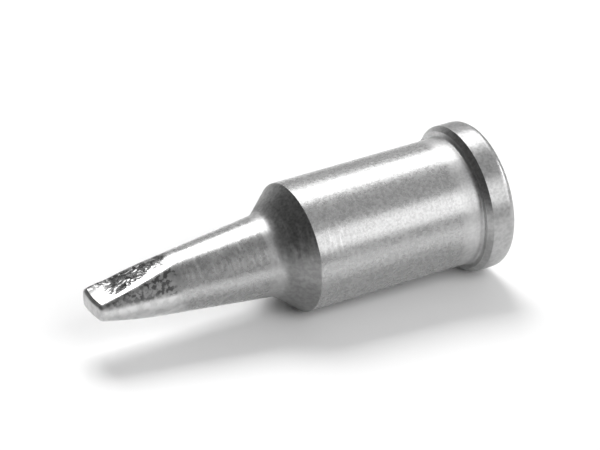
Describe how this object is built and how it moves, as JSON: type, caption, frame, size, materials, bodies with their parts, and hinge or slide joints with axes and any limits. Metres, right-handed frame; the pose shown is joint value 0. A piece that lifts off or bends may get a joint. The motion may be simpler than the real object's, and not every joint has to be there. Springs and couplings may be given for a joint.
{
  "type": "soldering iron tip",
  "caption": "Hollow slip-on soldering tip: flanged barrel, conical shoulder and tapered nose ground to a blunt double-flat chisel end.",
  "frame": {"origin": "centre of the flange's rear face, on which the tip stands", "axes": "+Z along the turning axis to the working end, +Y and -Y out of the two ground flats, X across the blade"},
  "size_m": [0.0104, 0.0104, 0.0298],
  "materials": {
    "plated_copper": "satin grey plating, tinned and brighter at the working end"
  },
  "bodies": {
    "root": {"chisel_tip": "plated_copper"}
  },
  "joints": []
}
